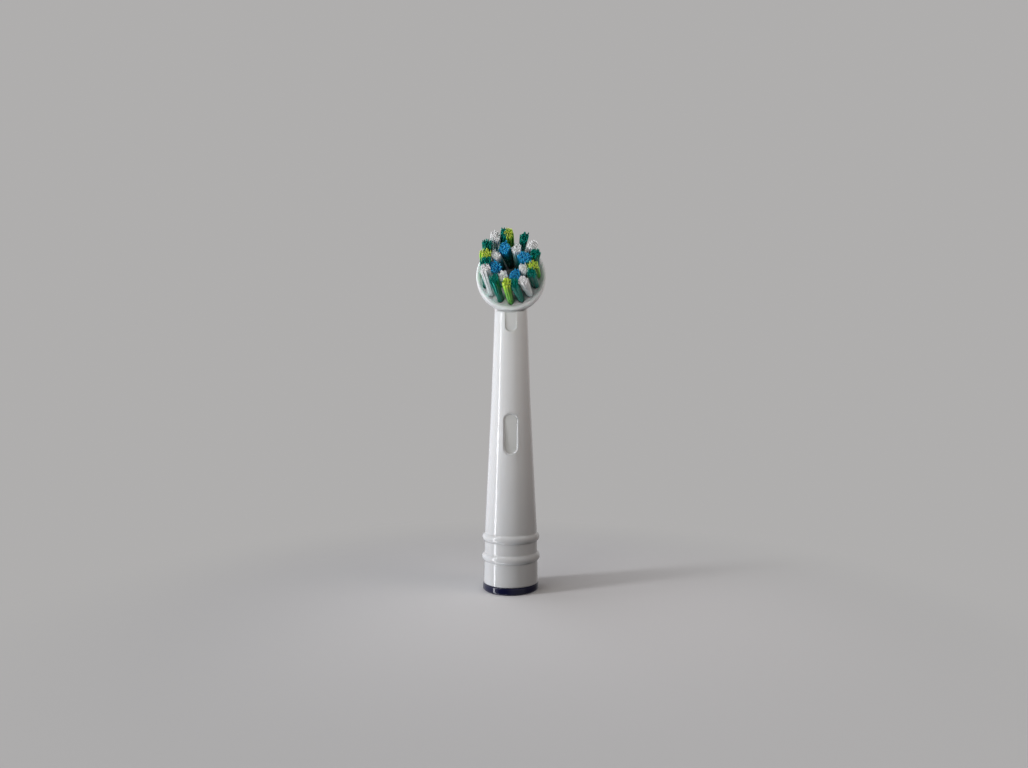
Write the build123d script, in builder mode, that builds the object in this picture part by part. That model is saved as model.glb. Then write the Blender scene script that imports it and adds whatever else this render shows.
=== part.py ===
from build123d import *
import os
from math import cos, radians, sin, sqrt, tan

os.makedirs("parts", exist_ok=True)

# Electric toothbrush head, standing on its foot with the bristles facing -Y.
# Millimetres. The origin is the middle of the foot and +Z runs up the neck.

# Neck: a sleeve at the foot, then a long hollow taper that eases towards the disc
base_radius = 5.84
sleeve_height = 12.6
sleeve_top_radius = 5.66
neck_middle = 40.6
neck_middle_radius = 4.46
neck_length = 62.4
neck_top_radius = 3.82
neck_wall = 1.1

# Two collar ribs round the sleeve
rib_heights = (6.8, 10.8)
rib_width = 1.8
rib_proud = 0.53

# Snap ring on the foot
ring_height = 1.5
ring_radius = 5.95
ring_edge = 0.25
spigot_radius = 5.35
snap_bead = 0.12
snap_bead_width = 0.6
ring_gap = 0.03

# Window in the front of the neck, and the shallow recess under the disc
window_middle = 32.8
window_length = 9.0
window_width = 3.1
window_recess = 0.2
window_gap = 0.1
recess_width = 2.5
recess_length = 4.5
recess_depth = 0.22

# Bristle disc, turning on the axle in front of the head cup
disc_radius = 7.85
disc_above_neck = 5.9
disc_thickness = 1.8
disc_back = -3.2
disc_skirt = 1.0
disc_skirt_wall = 0.7
disc_skirt_edge = 0.2
disc_rim = 0.8
disc_rim_round = 0.3
disc_dish = 0.35
disc_gap = 0.3
hub_radius = 3.4
hub_length = 3.8

# Head cup behind the disc, with a domed back
cup_radius = 6.2
cup_wall = 0.9
cup_side = 3.2
cup_dome = 4.6

# Shoulder that swells from the neck into the cup
shoulder_drop = 3.0
shoulder_inset = 0.4
shoulder_swell = 0.3

# Axle, its boss in the cup, and the cross pin in the hub's groove
axle_radius = 0.8
axle_length = 6.4
axle_end_gap = 0.1
axle_boss_radius = 1.6
hub_end_gap = 0.25
cross_pin_radius = 0.5
cross_pin_rise = 3.0
cross_pin_behind_disc = 2.6
cross_pin_gap = 0.1
cross_pin_skin = 0.2

# Gaps round what is pressed in, and round what turns
press_gap = 0.01
running_gap = 0.04

# Liner in the foot, with the socket for the handle's stub
insert_height = 40.0
insert_gap = 0.05
socket_radius = 4.0
socket_depth = 12.0
key_width = 1.2
key_depth = 0.35
clip_pocket_radius = 3.4
clip_pocket_depth = 1.4

# Drive coupling on the handle's shaft
coupling_radius = 2.5
coupling_end_gap = 0.1
collar_radius = 2.9
collar_height = 1.5
shaft_radius = 1.55
shaft_entry = 8.0
shaft_entry_radius = 1.75
shaft_depth = 19.0
shaft_flat = 1.2

# Open steel clip in the coupling's groove
clip_radius = 3.1
clip_thickness = 0.5
clip_groove_radius = 2.1
clip_opening = 3.0
clip_gap = 0.05

# Drive rod with a cranked top and a round tip that swings the disc
rod_radius = 0.6
rod_hold = 8.0
crank_throw = 2.3
crank_ratio = 1.06
crank_stem = 2.0
crank_rise = 3.4
crank_bend = 1.2
tip_radius = 0.75
slot_gap = 0.07
slot_flare_angle = 25.0
slot_flare_start = 2.5

# Bristle tufts: two rings of oval tufts, leaning opposite ways (degrees)
tuft_radial = 1.6
tuft_tangential = 1.3
tuft_extra = {"lime": 0.0, "green": 0.0, "white": 0.0, "blue": 0.3}
tuft_root = 1.0
tuft_gap = 0.02
tuft_flare = 1.35
outer_tufts = 16
outer_edge = 1.9
outer_length = 9.2
outer_inward_angle = 3.2
outer_lean_angle = {"lime": -6.5, "green": -7.5, "white": -9.5}
outer_order = ("lime", "green", "white", "green")
inner_tufts = 8
inner_step = 3.25
inner_length = 8.7
inner_inward_angle = -2.8
inner_lean_angle = {"blue": 7.5, "white": 7.5}
inner_order = ("blue", "white")

# Places that follow from the sizes above
disc_axis_height = neck_length + disc_above_neck
disc_front = disc_back - disc_thickness
skirt_back = disc_back + disc_skirt
disc_sweep = disc_radius + disc_gap
disc_face = disc_front + disc_dish
hub_end = disc_back + hub_length
cup_front = disc_back + disc_gap
dome_start = cup_front + cup_side
cup_back_inside = dome_start + cup_dome - cup_wall
shoulder_top = disc_axis_height - shoulder_drop
shoulder_half = sqrt(cup_radius**2 - shoulder_drop**2) - shoulder_inset
shoulder_back = dome_start + cup_dome * sqrt(1 - (shoulder_drop / cup_radius) ** 2) - shoulder_inset
shoulder_depth = (shoulder_back - cup_front) / 2
shoulder_middle = (shoulder_back + cup_front) / 2
axle_back = disc_back + axle_length
cross_pin_depth = disc_back + cross_pin_behind_disc
cross_pin_height = disc_axis_height + cross_pin_rise
cross_pin_reach = sqrt(cup_radius**2 - (cross_pin_rise + cross_pin_radius) ** 2) - cross_pin_skin
clip_shelf = socket_depth + clip_pocket_depth
clip_bottom = clip_shelf - coupling_end_gap - clip_thickness
coupling_bottom = socket_depth + coupling_end_gap
collar_bottom = insert_height + coupling_end_gap
coupling_top = collar_bottom + collar_height
crank_distance = crank_throw / crank_ratio
tip_height = disc_axis_height - crank_distance
crank_top = tip_height - crank_stem
crank_foot = crank_top - crank_rise

outer_circle = disc_radius - outer_edge
inner_circle = outer_circle - inner_step

head_axis = Axis((0, 0, disc_axis_height), (0, 1, 0))
head_side = Plane(origin=(0, 0, disc_axis_height), x_dir=(0, 1, 0), z_dir=(1, 0, 0))


def head_plane(depth):
    """Plane square to the disc's axis at the given Y, facing the bristles."""
    return Plane(origin=(0, depth, disc_axis_height), x_dir=(1, 0, 0), z_dir=(0, -1, 0))


def neck_core(inset):
    """The neck's own form of revolution up to the shoulder, taken in by an inset."""
    with BuildPart() as core:
        with BuildSketch(Plane.XZ):
            with BuildLine():
                Polyline(
                    (0, 0),
                    (base_radius - inset, 0),
                    (sleeve_top_radius - inset, sleeve_height),
                    (neck_middle_radius - inset, neck_middle),
                    (neck_top_radius - inset, neck_length),
                    (0, neck_length),
                    close=True,
                )
            make_face()
        revolve(axis=Axis.Z)
    return core.part


def cup_core(inset):
    """The head cup's form about the disc's axis, taken in by an inset at its side and back."""
    with BuildPart() as core:
        with BuildSketch(head_side):
            with BuildLine():
                Polyline(
                    (dome_start + cup_dome - inset, 0),
                    (cup_front, 0),
                    (cup_front, cup_radius - inset),
                    (dome_start, cup_radius - inset),
                )
                Spline(
                    (dome_start, cup_radius - inset),
                    (dome_start + (cup_dome - inset) * sqrt(0.5), (cup_radius - inset) * sqrt(0.5)),
                    (dome_start + cup_dome - inset, 0),
                    tangents=((1, 0), (0, -1)),
                )
            make_face()
        revolve(axis=head_axis)
    return core.part


def ridge(radius, proud, width, middle):
    """A rounded ridge round the neck's axis, standing proud of a radius."""
    with BuildPart() as ring:
        with BuildSketch(Plane.XZ):
            with BuildLine():
                ThreePointArc(
                    (radius, middle - width / 2),
                    (radius + proud, middle),
                    (radius, middle + width / 2),
                )
                Line((radius, middle + width / 2), (radius, middle - width / 2))
            make_face()
        revolve(axis=Axis.Z)
    return ring.part


def bead(radius, proud, width, middle):
    """A snap bead of two cones round the neck's axis, standing proud of a radius."""
    with BuildPart() as ring:
        with BuildSketch(Plane.XZ):
            with BuildLine():
                Polyline(
                    (radius, middle - width / 2),
                    (radius + proud, middle),
                    (radius, middle + width / 2),
                    close=True,
                )
            make_face()
        revolve(axis=Axis.Z)
    return ring.part


def sleeve_radius(height):
    """Outside radius of the sleeve at a height."""
    return base_radius + (sleeve_top_radius - base_radius) * height / sleeve_height


neck_outside = neck_core(0)
neck_inside = neck_core(neck_wall)
cup_outside = cup_core(0)
cup_inside = cup_core(cup_wall)
ribs = [ridge(sleeve_radius(height) - rib_proud, 2 * rib_proud, rib_width, height) for height in rib_heights]
spigot_bead = bead(spigot_radius, snap_bead, snap_bead_width, ring_height / 2)

# Neck housing: sleeve, taper and head cup in one moulding
with BuildPart() as neck_housing:
    add(neck_outside)

    # Shoulder, from the neck's round section out to the cup's flanks
    with BuildSketch(Plane.XY.offset(neck_length)):
        Circle(neck_top_radius)
    with BuildSketch(Plane.XY.offset((neck_length + shoulder_top) / 2)):
        with Locations((0, shoulder_middle * shoulder_swell)):
            Ellipse(
                neck_top_radius + (shoulder_half - neck_top_radius) * shoulder_swell,
                neck_top_radius + (shoulder_depth - neck_top_radius) * shoulder_swell,
            )
    with BuildSketch(Plane.XY.offset(shoulder_top)):
        with Locations((0, shoulder_middle)):
            Ellipse(shoulder_half, shoulder_depth)
    loft()

    # Clear the sweep of the disc and its skirt, then add the cup that stands inside the skirt
    with BuildSketch(head_plane(skirt_back + disc_gap)):
        Circle(disc_sweep)
    extrude(amount=disc_radius, mode=Mode.SUBTRACT)
    add(cup_outside)

    # Hollow the cup and the neck
    add(cup_inside, mode=Mode.SUBTRACT)
    add(ribs)
    add(neck_inside, mode=Mode.SUBTRACT)
    with BuildSketch(Plane.XY.offset(neck_length)):
        Circle(neck_top_radius - neck_wall)
    extrude(amount=shoulder_top - neck_length, mode=Mode.SUBTRACT)

    # Spigot with a bead for the snap ring
    with BuildSketch():
        Circle(base_radius + rib_proud)
        Circle(spigot_radius, mode=Mode.SUBTRACT)
    extrude(amount=ring_height, mode=Mode.SUBTRACT)
    add(spigot_bead)

    # Window for the liner's latch, and the shallow flat recess under the disc
    with BuildSketch(Plane.XZ):
        with Locations((0, window_middle)):
            SlotOverall(window_length, window_width, rotation=90)
    extrude(amount=base_radius, mode=Mode.SUBTRACT)
    with BuildSketch(Plane.XZ.offset(neck_top_radius - recess_depth)):
        with Locations((0, disc_axis_height - disc_sweep)):
            SlotOverall(2 * recess_length, recess_width, rotation=90)
    extrude(amount=base_radius, mode=Mode.SUBTRACT)

    # Boss and blind hole for the axle, and the cross pin's hole, open at one side
    with BuildSketch(head_plane(cup_back_inside + cup_wall / 2)):
        Circle(axle_boss_radius)
    extrude(amount=cup_back_inside + cup_wall / 2 - hub_end - hub_end_gap)
    with BuildSketch(head_plane(axle_back)):
        Circle(axle_radius + press_gap)
    extrude(amount=axle_back - hub_end, mode=Mode.SUBTRACT)
    with BuildSketch(Plane(origin=(-cross_pin_reach, cross_pin_depth, cross_pin_height), z_dir=(1, 0, 0))):
        Circle(cross_pin_radius + press_gap)
    extrude(amount=2 * cup_radius, mode=Mode.SUBTRACT)
neck_housing.part.label = "neck_housing"
export_step(neck_housing.part, "parts/neck_housing.step")

# Coloured snap ring on the foot
ring_inside = spigot_radius + ring_gap
ring_groove = bead(ring_inside, snap_bead, snap_bead_width + 2 * ring_gap, ring_height / 2)
with BuildPart() as id_ring:
    with BuildSketch():
        Circle(ring_radius)
        Circle(ring_inside, mode=Mode.SUBTRACT)
    extrude(amount=ring_height)
    outer_edges = id_ring.edges().filter_by(GeomType.CIRCLE).sort_by(SortBy.RADIUS)[-2:]
    chamfer(outer_edges, ring_edge)
    add(ring_groove, mode=Mode.SUBTRACT)
id_ring.part.label = "id_ring"
export_step(id_ring.part, "parts/id_ring.step")

# Latch tongue of the liner, its flat face a little below the neck's surface in the window
with BuildPart() as latch:
    with BuildSketch(Plane.XZ):
        with Locations((0, window_middle)):
            SlotOverall(window_length - 2 * window_gap, window_width - 2 * window_gap, rotation=90)
    extrude(amount=neck_middle_radius - window_recess)

# Liner: handle socket with two key slots below, coupling bearing above
liner_outside = neck_core(neck_wall + insert_gap)
with BuildPart() as socket_insert:
    add(liner_outside)
    split(bisect_by=Plane.XY.offset(insert_height), keep=Keep.BOTTOM)
    add(latch.part)
    with BuildSketch():
        Circle(socket_radius)
        with PolarLocations(socket_radius, 2):
            Rectangle(2 * key_depth, key_width)
    extrude(amount=socket_depth, mode=Mode.SUBTRACT)
    with BuildSketch(Plane.XY.offset(socket_depth)):
        Circle(clip_pocket_radius)
    extrude(amount=clip_pocket_depth, mode=Mode.SUBTRACT)
    with BuildSketch(Plane.XY.offset(clip_shelf)):
        Circle(coupling_radius + running_gap)
    extrude(amount=insert_height - clip_shelf, mode=Mode.SUBTRACT)
    with BuildSketch(Plane.XY.offset(insert_height)):
        Circle(collar_radius + running_gap)
    extrude(amount=window_length, mode=Mode.SUBTRACT)
socket_insert.part.label = "socket_insert"
export_step(socket_insert.part, "parts/socket_insert.step")

# Coupling: round entry and flatted bore for the shaft, collar above the liner
with BuildPart() as drive_coupling:
    with BuildSketch(Plane.XY.offset(coupling_bottom)):
        Circle(coupling_radius)
    extrude(amount=coupling_top - coupling_bottom)
    with BuildSketch(Plane.XY.offset(collar_bottom)):
        Circle(collar_radius)
    extrude(amount=collar_height)
    with BuildSketch(Plane.XY.offset(clip_bottom - clip_gap)):
        Circle(clip_radius)
        Circle(clip_groove_radius, mode=Mode.SUBTRACT)
    extrude(amount=clip_thickness + 2 * clip_gap, mode=Mode.SUBTRACT)
    with BuildSketch(Plane.XY.offset(coupling_bottom)):
        Circle(shaft_entry_radius)
    extrude(amount=shaft_entry, mode=Mode.SUBTRACT)
    with BuildSketch(Plane.XY.offset(coupling_bottom)):
        Circle(shaft_radius)
        with Locations((0, shaft_flat)):
            Rectangle(2 * shaft_radius, shaft_radius, align=(Align.CENTER, Align.MIN), mode=Mode.SUBTRACT)
    extrude(amount=shaft_depth, mode=Mode.SUBTRACT)
    with BuildSketch(Plane.XY.offset(coupling_top - rod_hold)):
        Circle(rod_radius + press_gap)
    extrude(amount=rod_hold, mode=Mode.SUBTRACT)
drive_coupling.part.label = "drive_coupling"
export_step(drive_coupling.part, "parts/drive_coupling.step")

# Clip that keeps the coupling in the liner
with BuildPart() as retaining_clip:
    with BuildSketch(Plane.XY.offset(clip_bottom)):
        Circle(clip_radius)
        Circle(clip_groove_radius + clip_gap, mode=Mode.SUBTRACT)
        Rectangle(clip_opening, clip_radius, align=(Align.CENTER, Align.MAX), mode=Mode.SUBTRACT)
    extrude(amount=clip_thickness)
retaining_clip.part.label = "retaining_clip"
export_step(retaining_clip.part, "parts/retaining_clip.step")

# Rod: straight up the neck's axis, cranked forward under the disc, round at its tip
with BuildPart() as drive_rod:
    with BuildLine(Plane.YZ) as rod_route:
        FilletPolyline(
            (0, coupling_top - rod_hold),
            (0, crank_foot),
            (-crank_throw, crank_top),
            (-crank_throw, tip_height),
            radius=crank_bend,
        )
    with BuildSketch(Plane(origin=rod_route.line @ 0, z_dir=rod_route.line % 0)):
        Circle(rod_radius)
    sweep()
    with Locations((0, -crank_throw, tip_height)):
        Sphere(tip_radius)
drive_rod.part.label = "drive_rod"
export_step(drive_rod.part, "parts/drive_rod.step")

# Axle, fixed in the boss at the back of the cup
with BuildPart() as disc_axle:
    with BuildSketch(head_plane(axle_back)):
        Circle(axle_radius)
    extrude(amount=axle_length)
disc_axle.part.label = "disc_axle"
export_step(disc_axle.part, "parts/disc_axle.step")

# Cross pin, through the cup's wall and across the hub's groove
with BuildPart() as retaining_pin:
    with BuildSketch(Plane(origin=(-cross_pin_reach, cross_pin_depth, cross_pin_height), z_dir=(1, 0, 0))):
        Circle(cross_pin_radius)
    extrude(amount=2 * cross_pin_reach)
retaining_pin.part.label = "retaining_pin"
export_step(retaining_pin.part, "parts/retaining_pin.step")


def tuft_plane(circle, turn, lean, inward):
    """Plane of a tuft's root end: out along its radius, facing the way the bristles lean."""
    outward = Vector(cos(radians(turn)), 0, sin(radians(turn)))
    around = Vector(-sin(radians(turn)), 0, cos(radians(turn)))
    along = Vector(0, -1, 0) + around * tan(radians(lean)) - outward * tan(radians(inward))
    foot = Vector(0, disc_face, disc_axis_height) + outward * circle
    return Plane(origin=foot - along.normalized() * tuft_root, x_dir=outward, z_dir=along)


# Every tuft's name, root plane, length and half sizes, ring by ring
rings = (
    ("outer", outer_tufts, outer_circle, outer_order, outer_lean_angle, outer_inward_angle, outer_length),
    ("inner", inner_tufts, inner_circle, inner_order, inner_lean_angle, inner_inward_angle, inner_length),
)
tufts = {}
for ring, count, circle, order, lean, inward, length in rings:
    made = {colour: 0 for colour in order}
    for step in range(count):
        colour = order[step % len(order)]
        made[colour] += 1
        root = tuft_plane(circle, 360 * step / count, lean[colour], inward)
        half_radial = (tuft_radial + tuft_extra[colour]) / 2
        half_tangential = (tuft_tangential + tuft_extra[colour]) / 2
        tufts[f"{ring}_{colour}_tuft_{made[colour]}"] = (root, length, half_radial, half_tangential)

# Bristle disc: dished plate with a raised rim, a skirt round its back, and the hub
with BuildPart() as bristle_disc:
    with BuildSketch(head_side):
        with BuildLine():
            Polyline(
                (disc_back, 0),
                (disc_back, disc_radius - disc_skirt_wall),
                (skirt_back, disc_radius - disc_skirt_wall),
                (skirt_back, disc_radius),
                (disc_front, disc_radius),
                (disc_front, disc_radius - disc_rim),
                (disc_face, disc_radius - disc_rim),
                (disc_face, 0),
                close=True,
            )
        make_face()
    revolve(axis=head_axis)
    round_edges = bristle_disc.edges().filter_by(GeomType.CIRCLE).group_by(Axis.Y)
    chamfer(round_edges[-1], disc_skirt_edge)
    fillet(round_edges[0], disc_rim_round)
    with BuildSketch(head_plane(hub_end)):
        Circle(hub_radius)
    extrude(amount=hub_length)

    # Groove for the cross pin, and the blind bore for the axle
    with BuildSketch(head_plane(cross_pin_depth + cross_pin_radius + cross_pin_gap)):
        Circle(hub_radius)
        Circle(cross_pin_rise - cross_pin_radius - cross_pin_gap, mode=Mode.SUBTRACT)
    extrude(amount=2 * (cross_pin_radius + cross_pin_gap), mode=Mode.SUBTRACT)
    with BuildSketch(head_plane(hub_end)):
        Circle(axle_radius + running_gap)
    extrude(amount=hub_length + axle_end_gap, mode=Mode.SUBTRACT)

    # Drive slot for the rod's tip, flared towards the neck to clear the rod's stem
    slot_half = tip_radius + slot_gap
    slot_near = crank_distance - tip_radius - slot_gap
    slot_far = hub_radius + slot_gap
    flare_half = slot_half + (slot_far - slot_flare_start) * tan(radians(slot_flare_angle))
    with BuildSketch(head_plane(hub_end)):
        with BuildLine():
            Polyline(
                (slot_half, -slot_near),
                (slot_half, -slot_flare_start),
                (flare_half, -slot_far),
                (-flare_half, -slot_far),
                (-slot_half, -slot_flare_start),
                (-slot_half, -slot_near),
                close=True,
            )
        make_face()
    extrude(amount=hub_length, mode=Mode.SUBTRACT)

    # One slanted hole for each tuft's root
    for root, length, half_radial, half_tangential in tufts.values():
        with BuildSketch(root):
            Ellipse(half_radial + tuft_gap, half_tangential + tuft_gap)
        extrude(amount=length, mode=Mode.SUBTRACT)
bristle_disc.part.label = "bristle_disc"
export_step(bristle_disc.part, "parts/bristle_disc.step")

# Bristle tufts, each standing in its own hole and flaring from the disc's face to its tip
for name, (root, length, half_radial, half_tangential) in tufts.items():
    with BuildPart() as tuft:
        with BuildSketch(root):
            Ellipse(half_radial, half_tangential)
        extrude(amount=tuft_root + half_radial)
        with BuildSketch(root.offset(tuft_root + half_radial)):
            Ellipse(half_radial, half_tangential)
        with BuildSketch(root.offset(tuft_root + length)):
            Ellipse(half_radial * tuft_flare, half_tangential * tuft_flare)
        loft()
    tuft.part.label = name
    export_step(tuft.part, f"parts/{name}.step")
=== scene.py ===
import math

import bpy
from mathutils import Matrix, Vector
from mathutils.bvhtree import BVHTree


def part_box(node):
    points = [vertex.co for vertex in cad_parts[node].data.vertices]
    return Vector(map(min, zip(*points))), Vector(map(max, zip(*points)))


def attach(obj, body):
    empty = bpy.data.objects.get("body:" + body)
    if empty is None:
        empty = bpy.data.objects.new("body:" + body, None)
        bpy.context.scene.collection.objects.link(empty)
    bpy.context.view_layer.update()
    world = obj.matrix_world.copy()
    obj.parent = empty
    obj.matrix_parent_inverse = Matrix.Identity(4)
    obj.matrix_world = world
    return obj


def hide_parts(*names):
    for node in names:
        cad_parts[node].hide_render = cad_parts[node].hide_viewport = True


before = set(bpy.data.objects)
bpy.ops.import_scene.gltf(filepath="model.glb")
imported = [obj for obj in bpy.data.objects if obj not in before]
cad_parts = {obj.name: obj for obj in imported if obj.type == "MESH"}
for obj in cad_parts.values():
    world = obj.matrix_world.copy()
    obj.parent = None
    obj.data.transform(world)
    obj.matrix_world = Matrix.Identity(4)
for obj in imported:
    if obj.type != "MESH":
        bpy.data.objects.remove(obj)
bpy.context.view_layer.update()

# Neck housing
# One long hollow moulding of glossy white plastic, from the foot's sleeve up to the round head cup.
# It comes out of its mould with a high polish, faint sink marks and the odd fine rub mark.


def moulded_plastic_group():
    """Moulded plastic: clouded colour, uneven polish with rub marks, a slight ripple and soft edges."""
    cloud_scale = 160.0
    cloud_detail = 3.0
    rub_stretch = (900.0, 900.0, 130.0)
    rub_turn = (0.5, 0.3, 0.2)
    rub_scale = 4.0
    rub_detail = 5.0
    rub_start = 0.52
    rub_full = 0.78
    ripple_scale = 420.0
    ripple_detail = 2.0
    ripple_height = 0.00002
    edge_radius = 0.0004
    edge_samples = 8
    group = bpy.data.node_groups.new("moulded_plastic", "ShaderNodeTree")
    for label, kind in (
        ("Colour", "NodeSocketColor"),
        ("Cloud colour", "NodeSocketColor"),
        ("Roughness", "NodeSocketFloat"),
        ("Rub roughness", "NodeSocketFloat"),
    ):
        group.interface.new_socket(label, in_out="INPUT", socket_type=kind)
    for label, kind in (
        ("Colour", "NodeSocketColor"),
        ("Roughness", "NodeSocketFloat"),
        ("Normal", "NodeSocketVector"),
    ):
        group.interface.new_socket(label, in_out="OUTPUT", socket_type=kind)
    nodes, links = group.nodes, group.links
    given = nodes.new("NodeGroupInput")
    result = nodes.new("NodeGroupOutput")
    place = nodes.new("ShaderNodeTexCoord")

    # Clouded colour
    cloud = nodes.new("ShaderNodeTexNoise")
    cloud.inputs["Scale"].default_value = cloud_scale
    cloud.inputs["Detail"].default_value = cloud_detail
    links.new(place.outputs["Object"], cloud.inputs["Vector"])
    tint = nodes.new("ShaderNodeMix")
    tint.data_type = "RGBA"
    links.new(cloud.outputs["Fac"], tint.inputs["Factor"])
    links.new(given.outputs["Colour"], tint.inputs["A"])
    links.new(given.outputs["Cloud colour"], tint.inputs["B"])
    links.new(tint.outputs["Result"], result.inputs["Colour"])

    # Polish, with sparse rub marks drawn out along the piece
    stretch = nodes.new("ShaderNodeMapping")
    stretch.inputs["Scale"].default_value = rub_stretch
    stretch.inputs["Rotation"].default_value = rub_turn
    links.new(place.outputs["Object"], stretch.inputs["Vector"])
    rubs = nodes.new("ShaderNodeTexNoise")
    rubs.inputs["Scale"].default_value = rub_scale
    rubs.inputs["Detail"].default_value = rub_detail
    links.new(stretch.outputs["Vector"], rubs.inputs["Vector"])
    sparse = nodes.new("ShaderNodeMapRange")
    sparse.inputs["From Min"].default_value = rub_start
    sparse.inputs["From Max"].default_value = rub_full
    links.new(rubs.outputs["Fac"], sparse.inputs["Value"])
    worn = nodes.new("ShaderNodeMath")
    worn.operation = "MULTIPLY_ADD"
    links.new(sparse.outputs["Result"], worn.inputs[0])
    links.new(given.outputs["Rub roughness"], worn.inputs[1])
    links.new(given.outputs["Roughness"], worn.inputs[2])
    links.new(worn.outputs["Value"], result.inputs["Roughness"])

    # Ripple of the moulded skin, over edges that are slightly rounded
    ripple = nodes.new("ShaderNodeTexNoise")
    ripple.inputs["Scale"].default_value = ripple_scale
    ripple.inputs["Detail"].default_value = ripple_detail
    links.new(place.outputs["Object"], ripple.inputs["Vector"])
    edge = nodes.new("ShaderNodeBevel")
    edge.samples = edge_samples
    edge.inputs["Radius"].default_value = edge_radius
    relief = nodes.new("ShaderNodeBump")
    relief.inputs["Strength"].default_value = 1.0
    relief.inputs["Distance"].default_value = ripple_height
    links.new(edge.outputs["Normal"], relief.inputs["Normal"])
    links.new(ripple.outputs["Fac"], relief.inputs["Height"])
    links.new(relief.outputs["Normal"], result.inputs["Normal"])
    return group


plastic_group = moulded_plastic_group()


def new_material(name):
    """A fresh material, with its nodes, its links and its shader."""
    material = bpy.data.materials.new(name)
    material.use_nodes = True
    nodes = material.node_tree.nodes
    return material, nodes, material.node_tree.links, nodes["Principled BSDF"]


def moulded_plastic(name, colour, cloud_colour, roughness, rub_roughness, all_over):
    """A plastic on the shared group; all_over holds the shader's values that are the same everywhere."""
    material, nodes, links, shader = new_material(name)
    look = nodes.new("ShaderNodeGroup")
    look.node_tree = plastic_group
    look.inputs["Colour"].default_value = (*colour, 1.0)
    look.inputs["Cloud colour"].default_value = (*cloud_colour, 1.0)
    look.inputs["Roughness"].default_value = roughness
    look.inputs["Rub roughness"].default_value = rub_roughness
    links.new(look.outputs["Colour"], shader.inputs["Base Color"])
    links.new(look.outputs["Roughness"], shader.inputs["Roughness"])
    links.new(look.outputs["Normal"], shader.inputs["Normal"])
    for label, value in all_over.items():
        shader.inputs[label].default_value = value
    return material


def finish_node(name, material):
    """Gives a piece of the frame its finish."""
    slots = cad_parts[name].data.materials
    slots.clear()
    slots.append(material)


neck_white = moulded_plastic(
    "neck_white",
    colour=(0.72, 0.725, 0.72),
    cloud_colour=(0.69, 0.695, 0.69),
    roughness=0.09,
    rub_roughness=0.08,
    all_over={
        "Subsurface Weight": 0.4,
        "Subsurface Radius": (1.0, 0.92, 0.86),
        "Subsurface Scale": 0.0007,
        "Coat Weight": 0.4,
        "Coat Roughness": 0.03,
    },
)
finish_node("neck_housing", neck_white)

# Moulded lips of the neck
# The neck's wall is rounded over where it ends: round the front window, and along its top edge, which
# stands just clear of the turning disc. Both lips are one piece with the housing, in the same plastic.
window_width = 0.0031
window_length = 0.009
window_middle = 0.0328
window_arc_steps = 16
window_lip_radius = 0.0003
top_lip_radius = 0.0002
top_lip_gap = 0.00003
top_lip_half_angle = 58.0
top_lip_steps = 24
lip_bevel_steps = 3
front_reach = 0.02
neck_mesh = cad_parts["neck_housing"].data
neck_surface = BVHTree.FromPolygons(
    [vertex.co for vertex in neck_mesh.vertices], [face.vertices for face in neck_mesh.polygons]
)


def neck_front(x, z):
    """Y of the neck's front surface at one X and Z."""
    return neck_surface.ray_cast(Vector((x, -front_reach, z)), Vector((0.0, 1.0, 0.0)))[0].y


def moulded_lip(name, points, radius, closed):
    """A round bead of the housing's plastic along a line of points."""
    line = bpy.data.curves.new(name + "_line", "CURVE")
    line.dimensions = "3D"
    line.bevel_depth = radius
    line.bevel_resolution = lip_bevel_steps
    line.use_fill_caps = True
    spline = line.splines.new("POLY")
    spline.points.add(len(points) - 1)
    for spline_point, point in zip(spline.points, points):
        spline_point.co = (*point, 1.0)
    spline.use_cyclic_u = closed
    carrier = bpy.data.objects.new(name + "_line", line)
    bpy.context.scene.collection.objects.link(carrier)
    evaluated = carrier.evaluated_get(bpy.context.evaluated_depsgraph_get())
    mesh = bpy.data.meshes.new_from_object(evaluated)
    bpy.data.objects.remove(carrier)
    mesh.materials.clear()
    mesh.materials.append(neck_white)
    mesh.polygons.foreach_set("use_smooth", [True] * len(mesh.polygons))
    piece = bpy.data.objects.new(name, mesh)
    bpy.context.scene.collection.objects.link(piece)
    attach(piece, "housing")


# The lip's middle line lies on the window's edge, and its depth is read from the wall just outside
window_points = []
outside = 1.0 + window_lip_radius / window_width
for end in (1, -1):
    for step in range(window_arc_steps + 1):
        angle = math.pi * step / window_arc_steps
        x = end * math.cos(angle) * window_width / 2
        z = window_middle + end * ((window_length - window_width) / 2 + math.sin(angle) * window_width / 2)
        edge_y = neck_front(x * outside, window_middle + (z - window_middle) * outside)
        window_points.append((x, edge_y + window_lip_radius, z))
moulded_lip("window_lip", window_points, window_lip_radius, True)

# The top lip follows the disc's round edge across the neck's front, one gap below it
disc_low, disc_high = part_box("bristle_disc")
disc_middle = (disc_low + disc_high) / 2
top_lip_reach = (disc_high.z - disc_low.z) / 2 + top_lip_gap + top_lip_radius
neck_top_radius = -neck_front(0.0, disc_middle.z - top_lip_reach - top_lip_radius) - top_lip_radius
top_points = []
for step in range(top_lip_steps + 1):
    angle = math.radians(top_lip_half_angle * (2 * step / top_lip_steps - 1))
    x = neck_top_radius * math.sin(angle)
    z = disc_middle.z - math.sqrt(top_lip_reach**2 - x**2)
    top_points.append((x, -neck_top_radius * math.cos(angle), z))
moulded_lip("neck_top_lip", top_points, top_lip_radius, False)

# Snap ring
# A narrow ring of glossy plastic, in a dark blue that tells one head from another. It is a moulding of
# its own, snapped over the bead of the foot's spigot.
ring_navy = moulded_plastic(
    "ring_navy",
    colour=(0.003, 0.004, 0.03),
    cloud_colour=(0.004, 0.005, 0.04),
    roughness=0.05,
    rub_roughness=0.06,
    all_over={"Specular IOR Level": 0.5},
)
finish_node("id_ring", ring_navy)

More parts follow.
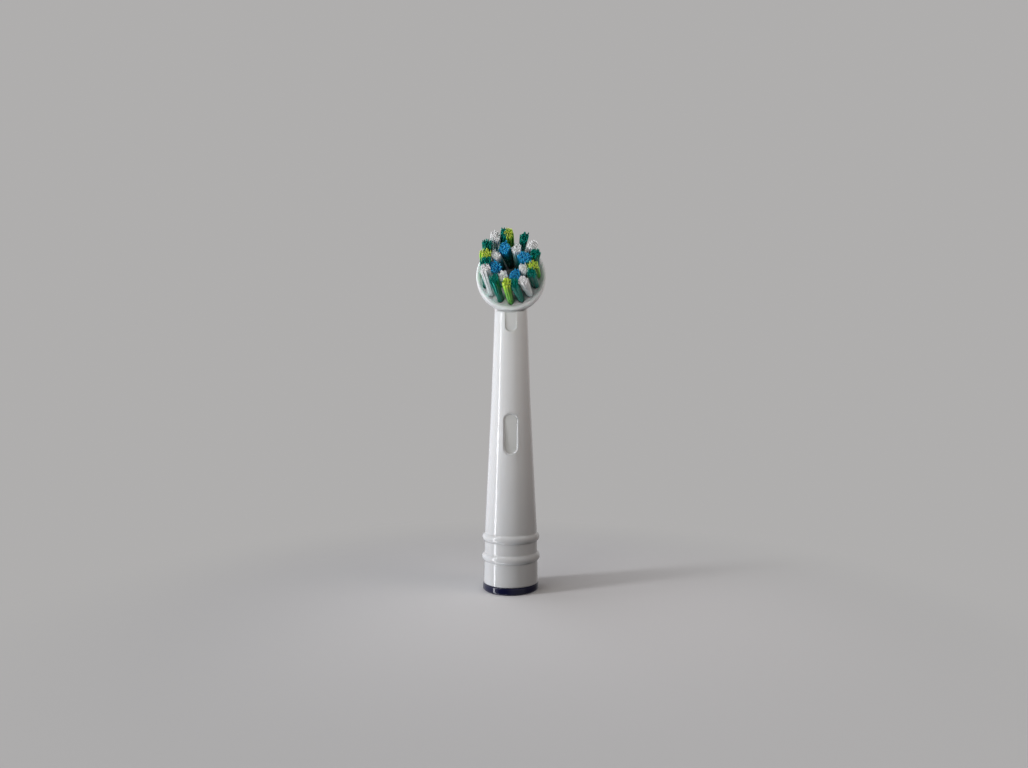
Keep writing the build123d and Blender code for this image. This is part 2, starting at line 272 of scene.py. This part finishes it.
# Socket liner
# The sleeve inside the foot that takes the handle's stub, moulded in satin white plastic and fixed in
# the neck. Its latch tongue is what shows inside the front window.
liner_white = moulded_plastic(
    "liner_white",
    colour=(0.7, 0.71, 0.69),
    cloud_colour=(0.64, 0.65, 0.63),
    roughness=0.36,
    rub_roughness=0.14,
    all_over={
        "Subsurface Weight": 0.3,
        "Subsurface Radius": (1.0, 1.0, 0.9),
        "Subsurface Scale": 0.0006,
    },
)
finish_node("socket_insert", liner_white)

# Drive coupling
# A sleeve of plain white acetal that slides over the handle's shaft and turns to and fro with it,
# inside the liner. The drive rod is pressed into its top.
coupling_white = moulded_plastic(
    "coupling_white",
    colour=(0.66, 0.67, 0.67),
    cloud_colour=(0.6, 0.61, 0.61),
    roughness=0.42,
    rub_roughness=0.1,
    all_over={},
)
finish_node("drive_coupling", coupling_white)

# Steel parts
# The clip that keeps the coupling in the liner, the cranked drive rod, the disc's axle and the cross pin
# that holds the disc on it. All are bright drawn steel, with fine lines left along it by the drawing die.


def drawn_steel():
    """Steel whose polish and tone follow fine drawn lines."""
    line_stretch = (9000.0, 9000.0, 350.0)
    line_scale = 1.0
    line_detail = 4.0
    finest_polish = 0.16
    dullest_polish = 0.42
    dark_steel = (0.5, 0.51, 0.52, 1.0)
    bright_steel = (0.68, 0.69, 0.7, 1.0)
    material, nodes, links, shader = new_material("drawn_steel")
    shader.inputs["Metallic"].default_value = 1.0
    place = nodes.new("ShaderNodeTexCoord")
    stretch = nodes.new("ShaderNodeMapping")
    stretch.inputs["Scale"].default_value = line_stretch
    links.new(place.outputs["Object"], stretch.inputs["Vector"])
    lines = nodes.new("ShaderNodeTexNoise")
    lines.inputs["Scale"].default_value = line_scale
    lines.inputs["Detail"].default_value = line_detail
    links.new(stretch.outputs["Vector"], lines.inputs["Vector"])
    polish = nodes.new("ShaderNodeMapRange")
    polish.inputs["To Min"].default_value = finest_polish
    polish.inputs["To Max"].default_value = dullest_polish
    links.new(lines.outputs["Fac"], polish.inputs["Value"])
    links.new(polish.outputs["Result"], shader.inputs["Roughness"])
    tone = nodes.new("ShaderNodeMix")
    tone.data_type = "RGBA"
    tone.inputs["A"].default_value = dark_steel
    tone.inputs["B"].default_value = bright_steel
    links.new(lines.outputs["Fac"], tone.inputs["Factor"])
    links.new(tone.outputs["Result"], shader.inputs["Base Color"])
    return material


steel = drawn_steel()
for steel_node in ("retaining_clip", "drive_rod", "disc_axle", "retaining_pin"):
    finish_node(steel_node, steel)

# Bristle disc
# A round dished plate of slightly see-through white plastic, moulded with a raised rim and one hole for
# each tuft, its colour tinted faintly green as painted light from the green tufts. It turns to and fro on
# its axle in front of the head cup.
disc_white = moulded_plastic(
    "disc_white",
    # The faint green in both colours is painted light from the green tufts.
    colour=(0.78, 0.835, 0.815),
    cloud_colour=(0.74, 0.8, 0.78),
    roughness=0.34,
    rub_roughness=0.12,
    all_over={
        "Subsurface Weight": 1.0,
        "Subsurface Radius": (0.85, 1.0, 0.95),
        "Subsurface Scale": 0.0025,
        "Coat Weight": 0.08,
        "Coat Roughness": 0.1,
    },
)
finish_node("bristle_disc", disc_white)

# Bristles
# Every tuft is a bundle of fine nylon filaments, folded into its hole and trimmed at the tips.
# Lime, green and white tufts stand in the outer ring, blue and white ones in the inner ring.


def bristle_tree():
    """Geometry nodes for one tuft: filaments packed in an oval at the root, opening towards the tips."""
    golden_turn = 2.39996
    filament_sides = 6
    filament_rings = 6
    ring_easing = 1.8
    tip_start = 0.9
    tip_width = 0.6
    core_sides = 16
    core_rings = 5
    core_tone = 0.5
    lean_easing = 1.6
    tree = bpy.data.node_groups.new("bristle_tuft", "GeometryNodeTree")
    tree.is_modifier = True
    for label, kind in (
        ("Root", "NodeSocketVector"),
        ("Along", "NodeSocketVector"),
        ("Outward", "NodeSocketVector"),
        ("Length", "NodeSocketFloat"),
        ("Half radial", "NodeSocketFloat"),
        ("Half tangential", "NodeSocketFloat"),
        ("Flare", "NodeSocketFloat"),
        ("Filaments", "NodeSocketInt"),
        ("Filament radius", "NodeSocketFloat"),
        ("Core share", "NodeSocketFloat"),
        ("Core height", "NodeSocketFloat"),
        ("Splay", "NodeSocketFloat"),
        ("Trim", "NodeSocketFloat"),
        ("Lean", "NodeSocketVector"),
        ("Seed", "NodeSocketInt"),
        ("Material", "NodeSocketMaterial"),
    ):
        tree.interface.new_socket(label, in_out="INPUT", socket_type=kind)
    tree.interface.new_socket("Geometry", in_out="OUTPUT", socket_type="NodeSocketGeometry")
    nodes, links = tree.nodes, tree.links
    given = nodes.new("NodeGroupInput").outputs
    result = nodes.new("NodeGroupOutput")

    def feed(socket, value):
        """Sets a plain number on a socket, or links another node's output to it."""
        if isinstance(value, (int, float)):
            socket.default_value = value
        else:
            links.new(value, socket)

    def math_node(operation, *values):
        """Result of one step of arithmetic."""
        node = nodes.new("ShaderNodeMath")
        node.operation = operation
        for socket, value in zip(node.inputs, values):
            feed(socket, value)
        return node.outputs["Value"]

    def product(first, *others):
        """Result of several values multiplied together."""
        for other in others:
            first = math_node("MULTIPLY", first, other)
        return first

    def vector_of(x, y, z):
        """A vector from its three parts."""
        node = nodes.new("ShaderNodeCombineXYZ")
        for socket, value in zip(node.inputs, (x, y, z)):
            feed(socket, value)
        return node.outputs["Vector"]

    def parts_of(vector):
        """The three parts of a vector."""
        node = nodes.new("ShaderNodeSeparateXYZ")
        links.new(vector, node.inputs["Vector"])
        return node.outputs["X"], node.outputs["Y"], node.outputs["Z"]

    def random_between(low, high, offset):
        """A random number for each point, from the tuft's seed and an offset of its own."""
        node = nodes.new("FunctionNodeRandomValue")
        node.data_type = "FLOAT"
        lowest, highest = node.inputs[2:4]
        lowest.default_value = low
        highest.default_value = high
        links.new(math_node("ADD", given["Seed"], offset), node.inputs["Seed"])
        return node.outputs[1]

    def stored(geometry, name, kind, value):
        """The geometry with one named value kept on its points."""
        node = nodes.new("GeometryNodeStoreNamedAttribute")
        node.data_type = kind
        node.domain = "POINT"
        node.inputs["Name"].default_value = name
        links.new(geometry, node.inputs["Geometry"])
        feed(node.inputs["Value"], value)
        return node.outputs["Geometry"]

    def recalled(name, kind):
        """A named value that was kept on the points."""
        node = nodes.new("GeometryNodeInputNamedAttribute")
        node.data_type = kind
        node.inputs["Name"].default_value = name
        return node.outputs["Attribute"]

    def unit_cylinder(sides, rings):
        """An upright cylinder of unit radius and height."""
        node = nodes.new("GeometryNodeMeshCylinder")
        node.fill_type = "NGON"
        node.inputs["Vertices"].default_value = sides
        node.inputs["Side Segments"].default_value = rings
        node.inputs["Radius"].default_value = 1.0
        node.inputs["Depth"].default_value = 1.0
        return node.outputs["Mesh"]

    def reshaped(geometry, socket, vector):
        """The geometry with its points put at a position, or moved by an offset."""
        node = nodes.new("GeometryNodeSetPosition")
        links.new(geometry, node.inputs["Geometry"])
        links.new(vector, node.inputs[socket])
        return node.outputs["Geometry"]

    # Roots, packed like seeds in an oval
    index = nodes.new("GeometryNodeInputIndex").outputs["Index"]
    share = math_node("DIVIDE", math_node("ADD", index, 0.5), given["Filaments"])
    reach = math_node("SQRT", share)
    turn = math_node("MULTIPLY", index, golden_turn)
    root_x = product(reach, math_node("COSINE", turn), given["Half radial"])
    root_y = product(reach, math_node("SINE", turn), given["Half tangential"])
    roots = nodes.new("GeometryNodePoints")
    links.new(given["Filaments"], roots.inputs["Count"])
    links.new(vector_of(root_x, root_y, 0.0), roots.inputs["Position"])
    position = nodes.new("GeometryNodeInputPosition").outputs["Position"]
    points = stored(roots.outputs["Geometry"], "filament_root", "FLOAT_VECTOR", position)
    points = stored(points, "filament_tone", "FLOAT", random_between(0.0, 1.0, 1))
    bend = vector_of(
        random_between(-1.0, 1.0, 2),
        random_between(-1.0, 1.0, 3),
        random_between(-1.0, 0.0, 4),
    )
    points = stored(points, "filament_bend", "FLOAT_VECTOR", bend)

    # One filament of unit size, with its rings closer together towards a narrowed tip
    unit_x, unit_y, unit_z = parts_of(position)
    height = math_node("ADD", unit_z, 0.5)
    left_over = math_node("SUBTRACT", 1.0, height)
    eased = math_node("SUBTRACT", 1.0, math_node("POWER", left_over, ring_easing))
    tip = nodes.new("ShaderNodeMapRange")
    tip.inputs["From Min"].default_value = tip_start
    tip.inputs["From Max"].default_value = 1.0
    tip.inputs["To Min"].default_value = 1.0
    tip.inputs["To Max"].default_value = tip_width
    links.new(height, tip.inputs["Value"])
    narrowed = tip.outputs["Result"]
    filament = reshaped(
        unit_cylinder(filament_sides, filament_rings),
        "Position",
        vector_of(product(unit_x, narrowed), product(unit_y, narrowed), eased),
    )

    # Filaments on their roots
    bundle = nodes.new("GeometryNodeInstanceOnPoints")
    links.new(points, bundle.inputs["Points"])
    links.new(filament, bundle.inputs["Instance"])
    thickness = given["Filament radius"]
    links.new(vector_of(thickness, thickness, given["Length"]), bundle.inputs["Scale"])
    real = nodes.new("GeometryNodeRealizeInstances")
    links.new(bundle.outputs["Instances"], real.inputs["Geometry"])

    # The solid middle of the bundle, which stops short of the tips
    core_x = product(unit_x, given["Core share"], given["Half radial"])
    core_y = product(unit_y, given["Core share"], given["Half tangential"])
    core_z = product(height, given["Core height"], given["Length"])
    core = reshaped(unit_cylinder(core_sides, core_rings), "Position", vector_of(core_x, core_y, core_z))
    core = stored(core, "filament_root", "FLOAT_VECTOR", position)
    core = stored(core, "filament_tone", "FLOAT", core_tone)
    core = stored(core, "filament_bend", "FLOAT_VECTOR", vector_of(0.0, 0.0, 0.0))
    joined = nodes.new("GeometryNodeJoinGeometry")
    links.new(real.outputs["Geometry"], joined.inputs["Geometry"])
    links.new(core, joined.inputs["Geometry"])

    # Flare from the root, splay of single filaments, and trimmed tips
    at_z = parts_of(position)[2]
    rise = math_node("DIVIDE", at_z, given["Length"])
    tuft = stored(joined.outputs["Geometry"], "along", "FLOAT", rise)
    along = recalled("along", "FLOAT")
    foot_x, foot_y, _ = parts_of(recalled("filament_root", "FLOAT_VECTOR"))
    bend_x, bend_y, bend_z = parts_of(recalled("filament_bend", "FLOAT_VECTOR"))
    opening = product(math_node("SUBTRACT", given["Flare"], 1.0), along)
    late = product(along, along, given["Splay"])
    spread = vector_of(
        math_node("ADD", product(foot_x, opening), product(bend_x, late)),
        math_node("ADD", product(foot_y, opening), product(bend_y, late)),
        product(along, bend_z, given["Trim"]),
    )
    tuft = reshaped(tuft, "Offset", spread)

    # Turned and set on its root, then bent over by use, most at the tip
    facing = nodes.new("FunctionNodeAxesToRotation")
    facing.primary_axis = "Z"
    facing.secondary_axis = "X"
    links.new(given["Along"], facing.inputs["Primary Axis"])
    links.new(given["Outward"], facing.inputs["Secondary Axis"])
    placed = nodes.new("GeometryNodeTransform")
    links.new(tuft, placed.inputs["Geometry"])
    links.new(facing.outputs["Rotation"], placed.inputs["Rotation"])
    links.new(given["Root"], placed.inputs["Translation"])
    leaning = nodes.new("ShaderNodeVectorMath")
    leaning.operation = "SCALE"
    links.new(given["Lean"], leaning.inputs["Vector"])
    links.new(math_node("POWER", along, lean_easing), leaning.inputs["Scale"])
    bent = reshaped(placed.outputs["Geometry"], "Offset", leaning.outputs["Vector"])
    smooth = nodes.new("GeometryNodeSetShadeSmooth")
    links.new(bent, smooth.inputs["Geometry"])
    whole = nodes.new("GeometryNodeRealizeInstances")
    links.new(smooth.outputs["Geometry"], whole.inputs["Geometry"])
    coloured = nodes.new("GeometryNodeSetMaterial")
    links.new(whole.outputs["Geometry"], coloured.inputs["Geometry"])
    links.new(given["Material"], coloured.inputs["Material"])
    links.new(coloured.outputs["Geometry"], result.inputs["Geometry"])
    return tree


def nylon(name, root, middle, tip, end, shades=(0.62, 1.2), glow_depth=0.0004):
    """Nylon coloured from root to tip and cut end, darker towards the root as painted shade and lighter at
    the tips as painted light, with each filament a shade and a polish of its own.
    """
    root_stop = 0.1
    middle_stop = 0.7
    tip_stop = 0.93
    end_stop = 1.0
    finest_polish = 0.28
    dullest_polish = 0.45
    material, nodes, links, shader = new_material(name)
    along = nodes.new("ShaderNodeAttribute")
    along.attribute_name = "along"
    # The ramp's darker root and middle are painted shade among the tufts; its lighter tips and cut ends
    # are painted light.
    ramp = nodes.new("ShaderNodeValToRGB")
    stops = ramp.color_ramp.elements
    stops[0].position = root_stop
    stops[0].color = (*root, 1.0)
    stops[1].position = end_stop
    stops[1].color = (*end, 1.0)
    stops.new(middle_stop).color = (*middle, 1.0)
    stops.new(tip_stop).color = (*tip, 1.0)
    links.new(along.outputs["Fac"], ramp.inputs["Fac"])
    tone = nodes.new("ShaderNodeAttribute")
    tone.attribute_name = "filament_tone"
    shade = nodes.new("ShaderNodeMapRange")
    shade.inputs["To Min"].default_value = shades[0]
    shade.inputs["To Max"].default_value = shades[1]
    links.new(tone.outputs["Fac"], shade.inputs["Value"])
    vary = nodes.new("ShaderNodeHueSaturation")
    links.new(ramp.outputs["Color"], vary.inputs["Color"])
    links.new(shade.outputs["Result"], vary.inputs["Value"])
    links.new(vary.outputs["Color"], shader.inputs["Base Color"])
    rough = nodes.new("ShaderNodeMapRange")
    rough.inputs["To Min"].default_value = finest_polish
    rough.inputs["To Max"].default_value = dullest_polish
    links.new(tone.outputs["Fac"], rough.inputs["Value"])
    links.new(rough.outputs["Result"], shader.inputs["Roughness"])
    shader.inputs["Specular IOR Level"].default_value = 0.2
    shader.inputs["Subsurface Weight"].default_value = 0.8
    shader.inputs["Subsurface Radius"].default_value = (1.0, 1.0, 1.0)
    shader.inputs["Subsurface Scale"].default_value = glow_depth
    return material


white_shades = (0.95, 1.01)
white_glow_depth = 0.00012
# Each tuft runs from root to cut end: the darker roots and middles are painted shade among the tufts, the
# lighter tips and ends painted light. The blue tufts are blue at the tips and teal lower down.
bristle_colours = {
    "outer_lime": nylon(
        "bristle_lime",
        root=(0.06, 0.44, 0.05),
        middle=(0.3, 0.78, 0.09),
        tip=(0.46, 0.9, 0.09),
        end=(0.68, 0.94, 0.1),
    ),
    "outer_green": nylon(
        "bristle_green",
        root=(0.001, 0.15, 0.115),
        middle=(0.002, 0.25, 0.19),
        tip=(0.003, 0.28, 0.22),
        end=(0.002, 0.21, 0.16),
    ),
    "outer_white": nylon(
        "bristle_white",
        root=(0.76, 0.92, 0.91),
        middle=(0.9, 0.97, 0.97),
        tip=(0.95, 0.98, 0.98),
        end=(0.96, 0.98, 0.98),
        shades=white_shades,
        glow_depth=white_glow_depth,
    ),
    "inner_blue": nylon(
        "bristle_blue",
        root=(0.0, 0.085, 0.07),
        middle=(0.001, 0.21, 0.185),
        tip=(0.008, 0.3, 0.6),
        end=(0.04, 0.42, 0.9),
    ),
    # These white tufts are painted dark teal low down and teal in the middle: painted shade, tinted by the
    # green tufts around them.
    "inner_white": nylon(
        "bristle_white_painted_teal_shade",
        root=(0.008, 0.17, 0.145),
        middle=(0.2, 0.52, 0.52),
        tip=(0.84, 0.95, 0.95),
        end=(0.95, 0.98, 0.98),
        shades=white_shades,
        glow_depth=white_glow_depth,
    ),
}
slim_tuft = (0.00068, 0.00054)
stout_tuft = (0.00088, 0.00074)
tuft_half_sizes = {"lime": slim_tuft, "green": slim_tuft, "white": slim_tuft, "blue": stout_tuft}
filament_counts = {"lime": 84, "green": 84, "white": 84, "blue": 130}
filament_radius = 0.00012
core_shares = {"lime": 0.86, "green": 0.86, "white": 0.97, "blue": 0.86}
core_heights = {"lime": 0.93, "green": 0.93, "white": 0.96, "blue": 0.93}
tuft_flare = 1.5
filament_splay = 0.00026
tip_trim = 0.0004
ring_leans = {"outer": (-0.0003, 0.0, 0.0006), "inner": (-0.0002, 0.0, -0.0001)}
tuft_leans = {
    "outer_lime_tuft_1": (-0.0008, 0.0, 0.0),
    "outer_lime_tuft_2": (-0.0015, 0.0, 0.0006),
    "outer_lime_tuft_3": (0.0002, 0.0, 0.0007),
    "outer_lime_tuft_4": (0.0002, 0.0, 0.0006),
    "outer_white_tuft_3": (-0.0004, 0.0, 0.0013),
    "outer_green_tuft_5": (0.0003, 0.0, 0.0011),
}
end_slice = 0.0004
tuft_tree = bristle_tree()
tuft_inputs = {
    item.name: item.identifier for item in tuft_tree.interface.items_tree if item.in_out == "INPUT"
}


def end_middle(points, level, step):
    """Middle of one end of a tuft, from the points within one slice of that end's Y."""
    near = [point for point in points if (point.y - level) * step < end_slice]
    low = Vector([min(point[axis] for point in near) for axis in range(3)])
    high = Vector([max(point[axis] for point in near) for axis in range(3)])
    return (low + high) / 2


def bristle_tuft(node, ring, colour, seed):
    """The bundle of filaments that stands for one tuft of the frame."""
    points = [vertex.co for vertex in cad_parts[node].data.vertices]
    root = end_middle(points, max(point.y for point in points), -1)
    tip = end_middle(points, min(point.y for point in points), 1)
    outward = Vector((root.x - disc_middle.x, 0.0, root.z - disc_middle.z)).normalized()
    half_radial, half_tangential = tuft_half_sizes[colour]
    carrier = bpy.data.objects.new(node + "_nodes", bpy.data.meshes.new(node + "_nodes"))
    bpy.context.scene.collection.objects.link(carrier)
    modifier = carrier.modifiers.new("tuft", "NODES")
    modifier.node_group = tuft_tree
    for label, value in (
        ("Root", root),
        ("Along", (tip - root).normalized()),
        ("Outward", outward),
        ("Length", (tip - root).length),
        ("Half radial", half_radial),
        ("Half tangential", half_tangential),
        ("Flare", tuft_flare),
        ("Filaments", filament_counts[colour]),
        ("Filament radius", filament_radius),
        ("Core share", core_shares[colour]),
        ("Core height", core_heights[colour]),
        ("Splay", filament_splay),
        ("Trim", tip_trim),
        ("Lean", tuft_leans.get(node, ring_leans[ring])),
        ("Seed", seed),
        ("Material", bristle_colours[ring + "_" + colour]),
    ):
        modifier[tuft_inputs[label]] = value
    bpy.context.view_layer.update()
    evaluated = carrier.evaluated_get(bpy.context.evaluated_depsgraph_get())
    mesh = bpy.data.meshes.new_from_object(evaluated)
    carrier.modifiers.remove(modifier)
    bpy.data.objects.remove(carrier)
    mesh.name = node + "_bristles"
    piece = bpy.data.objects.new(node + "_bristles", mesh)
    bpy.context.scene.collection.objects.link(piece)
    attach(piece, "disc")
    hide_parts(node)


for seed, node in enumerate(sorted(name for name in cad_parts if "_tuft_" in name)):
    bristle_tuft(node, *node.split("_")[:2], seed)

# Studio
# A plain pale floor, for the camera alone, runs out into a plain grey backdrop. Daylight comes from two
# windows on the left, one broad and one narrow, and three soft lamps fill in.
backdrop_grey = (0.43, 0.423, 0.42)


def daylight_world():
    """Backdrop grey for the camera; for all other rays a room that is lighter on its left."""
    room_grey = (0.06, 0.057, 0.055)
    right_wall = (0.16, 0.145, 0.14)
    front_wall = (0.12, 0.115, 0.11)
    left_wall = (0.86, 0.87, 0.94)
    broad_window = (0.78, 0.8, 0.87)
    narrow_window = (7.6, 7.7, 8.1)
    low_shade = (0.05, 0.05, 0.06)
    high_shade = (0.1, 0.1, 0.105)
    world = bpy.data.worlds.new("daylight")
    world.use_nodes = True
    nodes, links = world.node_tree.nodes, world.node_tree.links

    # Compass direction and height of every ray
    place = nodes.new("ShaderNodeTexCoord")
    level = nodes.new("ShaderNodeVectorMath")
    level.operation = "MULTIPLY"
    level.inputs[1].default_value = (1.0, 1.0, 0.0)
    links.new(place.outputs["Generated"], level.inputs[0])
    compass = nodes.new("ShaderNodeVectorMath")
    compass.operation = "NORMALIZE"
    links.new(level.outputs["Vector"], compass.inputs[0])
    heights = nodes.new("ShaderNodeSeparateXYZ")
    links.new(place.outputs["Generated"], heights.inputs["Vector"])

    def soft_mask(value, start, full, most=1.0):
        """Mask that grows softly from 0, at one value, to its most, at another."""
        mask = nodes.new("ShaderNodeMapRange")
        mask.interpolation_type = "SMOOTHSTEP"
        mask.inputs["From Min"].default_value = start
        mask.inputs["From Max"].default_value = full
        mask.inputs["To Max"].default_value = most
        links.new(value, mask.inputs["Value"])
        return mask.outputs["Result"]

    def towards(azimuth, outer, inner):
        """Mask of a compass direction left of the camera: 1 within the inner angle, 0 past the outer."""
        turn = math.radians(azimuth)
        along = nodes.new("ShaderNodeVectorMath")
        along.operation = "DOT_PRODUCT"
        along.inputs[1].default_value = (-math.sin(turn), -math.cos(turn), 0.0)
        links.new(compass.outputs["Vector"], along.inputs[0])
        start = math.cos(math.radians(outer))
        full = math.cos(math.radians(inner))
        return soft_mask(along.outputs["Value"], start, full)

    def lit(below, mask, colour):
        """Light of one colour laid over what is below it, by a mask."""
        mix = nodes.new("ShaderNodeMix")
        mix.data_type = "RGBA"
        links.new(mask, mix.inputs["Factor"])
        mix.inputs["B"].default_value = (*colour, 1.0)
        if isinstance(below, tuple):
            mix.inputs["A"].default_value = (*below, 1.0)
        else:
            links.new(below, mix.inputs["A"])
        return mix.outputs["Result"]

    # The room, in which mirrored and see-through rays meet the backdrop between the walls and windows
    rays = nodes.new("ShaderNodeLightPath")
    mirrored = nodes.new("ShaderNodeMath")
    mirrored.operation = "MAXIMUM"
    links.new(rays.outputs["Is Glossy Ray"], mirrored.inputs[0])
    links.new(rays.outputs["Is Transmission Ray"], mirrored.inputs[1])
    room = lit(room_grey, mirrored.outputs["Value"], backdrop_grey)
    room = lit(room, towards(azimuth=-98, outer=48, inner=18), right_wall)
    room = lit(room, towards(azimuth=40, outer=48, inner=18), front_wall)
    room = lit(room, towards(azimuth=108, outer=62, inner=25), left_wall)
    room = lit(room, towards(azimuth=76, outer=28, inner=12), broad_window)
    room = lit(room, soft_mask(heights.outputs["Z"], start=0.0, full=-0.2, most=0.45), low_shade)
    room = lit(room, soft_mask(heights.outputs["Z"], start=0.35, full=0.85, most=0.7), high_shade)
    room = lit(room, towards(azimuth=72, outer=4.5, inner=3), narrow_window)
    room_light = nodes["Background"]
    links.new(room, room_light.inputs["Color"])
    backdrop = nodes.new("ShaderNodeBackground")
    backdrop.inputs["Color"].default_value = (*backdrop_grey, 1.0)
    seen = nodes.new("ShaderNodeMixShader")
    links.new(rays.outputs["Is Camera Ray"], seen.inputs[0])
    links.new(room_light.outputs["Background"], seen.inputs[1])
    links.new(backdrop.outputs["Background"], seen.inputs[2])
    links.new(seen.outputs["Shader"], nodes["World Output"].inputs["Surface"])
    return world


def floor_finish():
    """Pale matt floor near the head, fading into the backdrop."""
    floor_pale = (0.79, 0.781, 0.77, 1.0)
    floor_roughness = 0.8
    fade_start = 0.015
    fade_end = 0.1
    material, nodes, links, matt = new_material("floor")
    matt.inputs["Base Color"].default_value = floor_pale
    matt.inputs["Roughness"].default_value = floor_roughness
    place = nodes.new("ShaderNodeTexCoord")
    reach = nodes.new("ShaderNodeVectorMath")
    reach.operation = "LENGTH"
    links.new(place.outputs["Object"], reach.inputs[0])
    fade = nodes.new("ShaderNodeMapRange")
    fade.interpolation_type = "SMOOTHSTEP"
    fade.inputs["From Min"].default_value = fade_start
    fade.inputs["From Max"].default_value = fade_end
    links.new(reach.outputs["Value"], fade.inputs["Value"])
    backdrop = nodes.new("ShaderNodeEmission")
    backdrop.inputs["Color"].default_value = (*backdrop_grey, 1.0)
    near = nodes.new("ShaderNodeMixShader")
    links.new(fade.outputs["Result"], near.inputs[0])
    links.new(matt.outputs["BSDF"], near.inputs[1])
    links.new(backdrop.outputs["Emission"], near.inputs[2])
    links.new(near.outputs["Shader"], nodes["Material Output"].inputs["Surface"])
    return material


floor_radius = 1.5
floor_sides = 96
floor_turns = [math.tau * side / floor_sides for side in range(floor_sides)]
floor_points = [
    (floor_radius * math.cos(turn), floor_radius * math.sin(turn), 0.0) for turn in floor_turns
]
floor_mesh = bpy.data.meshes.new("floor")
floor_mesh.from_pydata(floor_points, [], [tuple(range(floor_sides))])
floor_mesh.materials.append(floor_finish())
floor = bpy.data.objects.new("floor", floor_mesh)
floor.visible_diffuse = False
floor.visible_glossy = False
floor.visible_transmission = False
floor.visible_shadow = False
bpy.context.scene.collection.objects.link(floor)
bpy.context.scene.world = daylight_world()
head_middle = Vector((0.0, 0.0, disc_middle.z))


def soft_lamp(name, place, width, spread, power, colour):
    """A broad soft lamp that faces the disc's level and leaves no mirror image on the plastic."""
    lamp_data = bpy.data.lights.new(name, "AREA")
    lamp_data.shape = "DISK"
    lamp_data.size = width
    lamp_data.spread = math.radians(spread)
    lamp_data.energy = power
    lamp_data.color = colour
    lamp = bpy.data.objects.new(name, lamp_data)
    lamp.location = place
    lamp.rotation_euler = (head_middle - Vector(place)).to_track_quat("-Z", "Y").to_euler()
    lamp.visible_glossy = False
    bpy.context.scene.collection.objects.link(lamp)


soft_lamp(
    "front_lamp",
    place=(-0.055, -0.075, 0.042),
    width=0.05,
    spread=115.0,
    power=0.0145,
    colour=(1.0, 0.98, 0.96),
)
soft_lamp(
    "right_lamp",
    place=(0.07, -0.03, 0.075),
    width=0.06,
    spread=180.0,
    power=0.02,
    colour=(1.0, 0.91, 0.87),
)
soft_lamp(
    "top_lamp",
    place=(-0.03, -0.02, 0.17),
    width=0.08,
    spread=180.0,
    power=0.022,
    colour=(0.97, 0.98, 1.0),
)

# Camera
# A wide lens close in front of the head, a little below the neck's middle, tilted slightly up, so that
# it looks into the tufts from below.
camera_place = (0.00069, -0.1063, 0.02936)
camera_tilt = 98.0
camera_data = bpy.data.cameras.new("camera")
camera_data.sensor_width = 36.0
camera_data.lens = 16.46
camera_data.clip_start = 0.001
camera = bpy.data.objects.new("camera", camera_data)
camera.location = camera_place
camera.rotation_euler = (math.radians(camera_tilt), 0.0, 0.0)
bpy.context.scene.collection.objects.link(camera)
bpy.context.scene.camera = camera
bpy.context.scene.view_settings.view_transform = "Standard"
